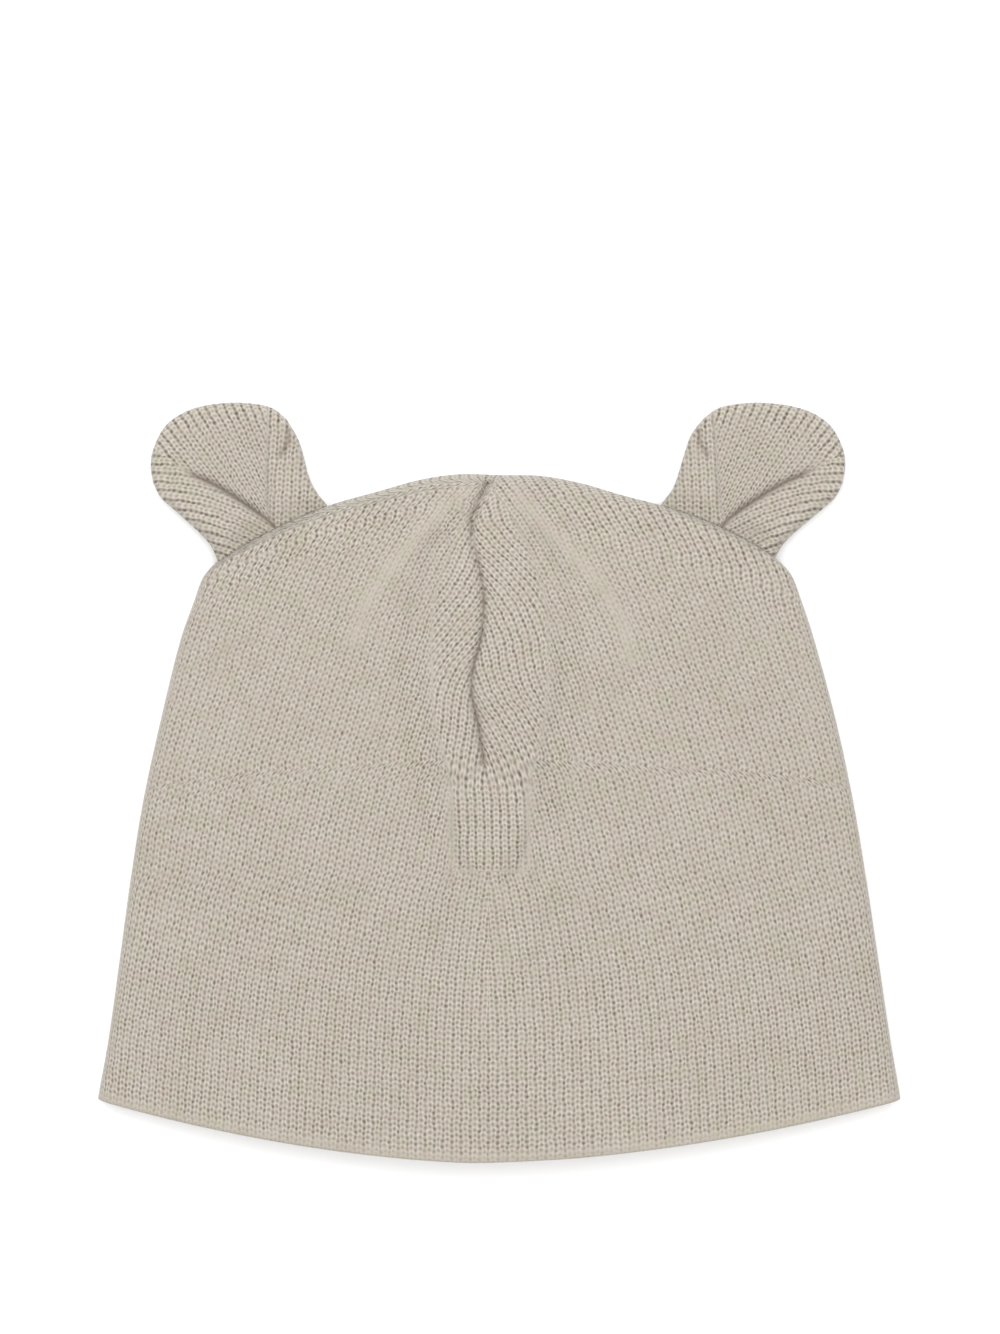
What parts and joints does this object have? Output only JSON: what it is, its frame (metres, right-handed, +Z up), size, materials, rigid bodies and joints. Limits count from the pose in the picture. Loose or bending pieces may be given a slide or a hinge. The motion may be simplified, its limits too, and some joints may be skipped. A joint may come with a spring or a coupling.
{
  "type": "baby hat with ears",
  "caption": "Knitted baby hat lying flat on its back: a tube closed along the crown and open at the hem, with a dart seam down the front and two folded ears on the crown's edge.",
  "frame": {"origin": "on the surface that the hat lies on, under the middle of its bounding box", "axes": "+Z up from that surface through the hat's back and front; +Y from the open hem towards the crown; +X to the right, as seen from above"},
  "size_m": [0.1994, 0.189, 0.0168],
  "materials": {
    "cap_knit": "fine stockinette knit in a warm greige yarn, matt, with a faint heather",
    "ear_knit": "the cap's knit, doubled and folded"
  },
  "bodies": {
    "root": {"cap_body": "cap_knit", "ear_left": "ear_knit", "ear_right": "ear_knit"}
  },
  "joints": []
}
